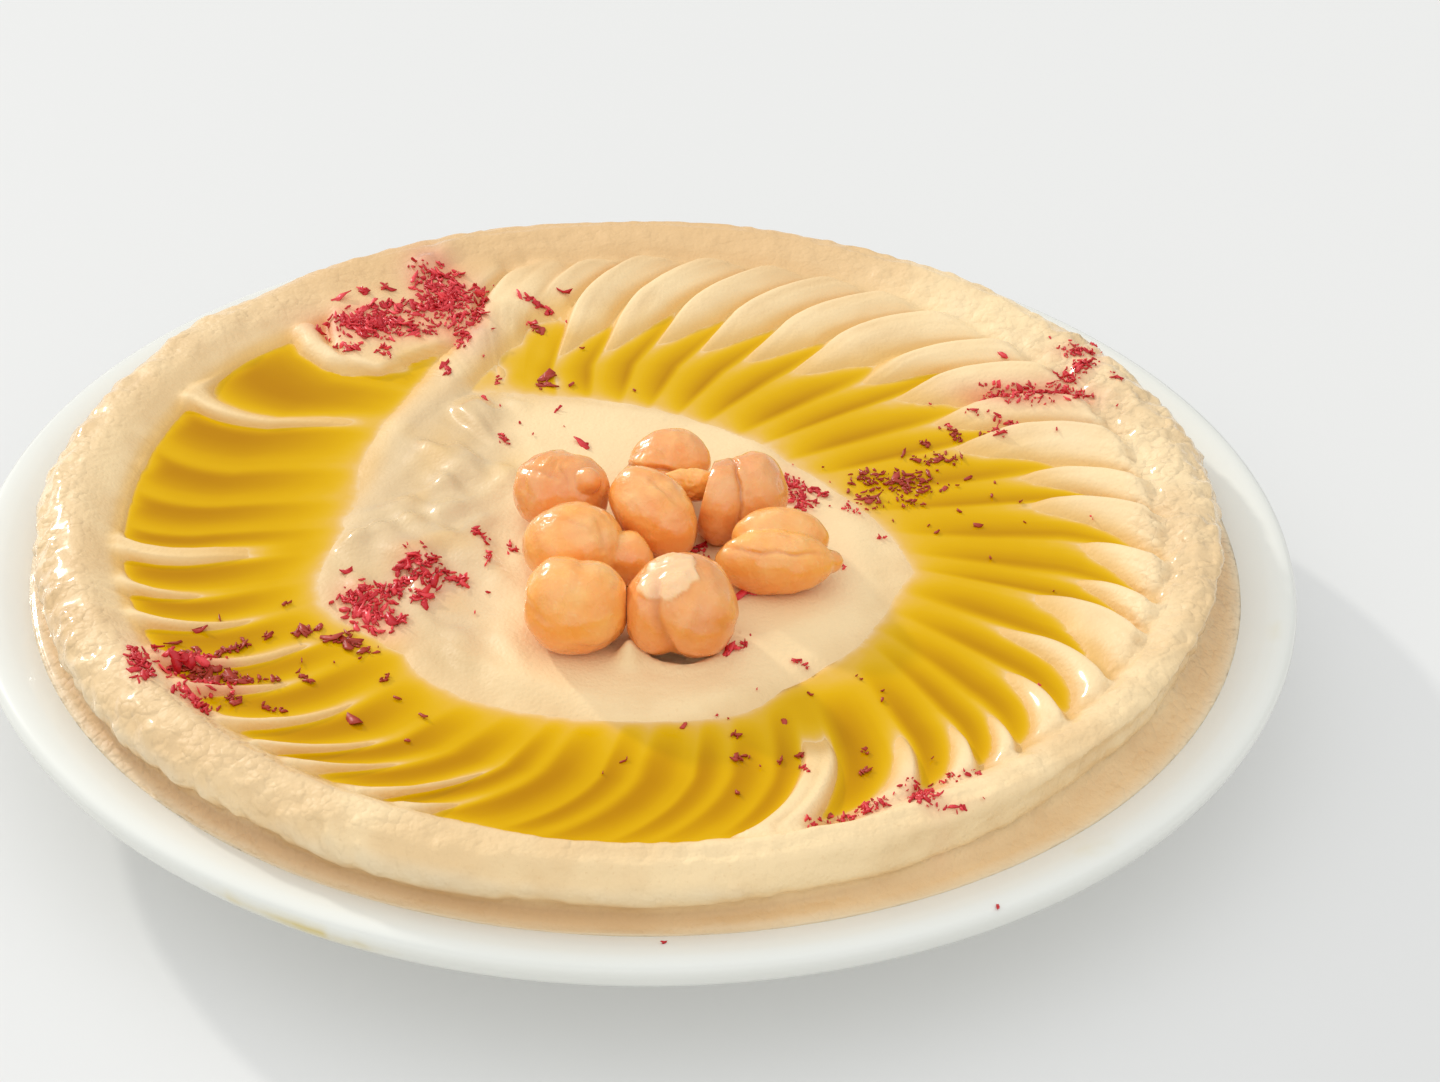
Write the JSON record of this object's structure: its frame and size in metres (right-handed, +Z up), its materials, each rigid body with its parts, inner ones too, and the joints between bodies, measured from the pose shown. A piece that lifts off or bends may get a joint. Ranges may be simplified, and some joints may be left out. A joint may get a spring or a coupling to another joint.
{
  "type": "hummus on a plate",
  "caption": "Hummus swirled on a round white side plate, with olive oil in its furrows, whole chickpeas in the middle and sumac.",
  "frame": {"origin": "middle of the plate's foot, on the table", "axes": "+Z up, -Y towards the side with the two front chickpeas, +X to the right seen from there"},
  "size_m": [0.18, 0.18, 0.036],
  "materials": {
    "plate": "glossy white glaze",
    "hummus": "moist cream paste",
    "oil": "clear golden olive oil",
    "chickpea": "wet boiled chickpea"
  },
  "bodies": {
    "root": {"plate": "plate", "hummus": "hummus", "oil_left": "oil", "oil_right": "oil", "oil_upper_left": "oil", "chickpea_1": "chickpea", "chickpea_2": "chickpea", "chickpea_3": "chickpea", "chickpea_4": "chickpea", "chickpea_5": "chickpea", "chickpea_6": "chickpea", "chickpea_7": "chickpea", "chickpea_8": "chickpea", "chickpea_half": "chickpea"}
  },
  "joints": []
}
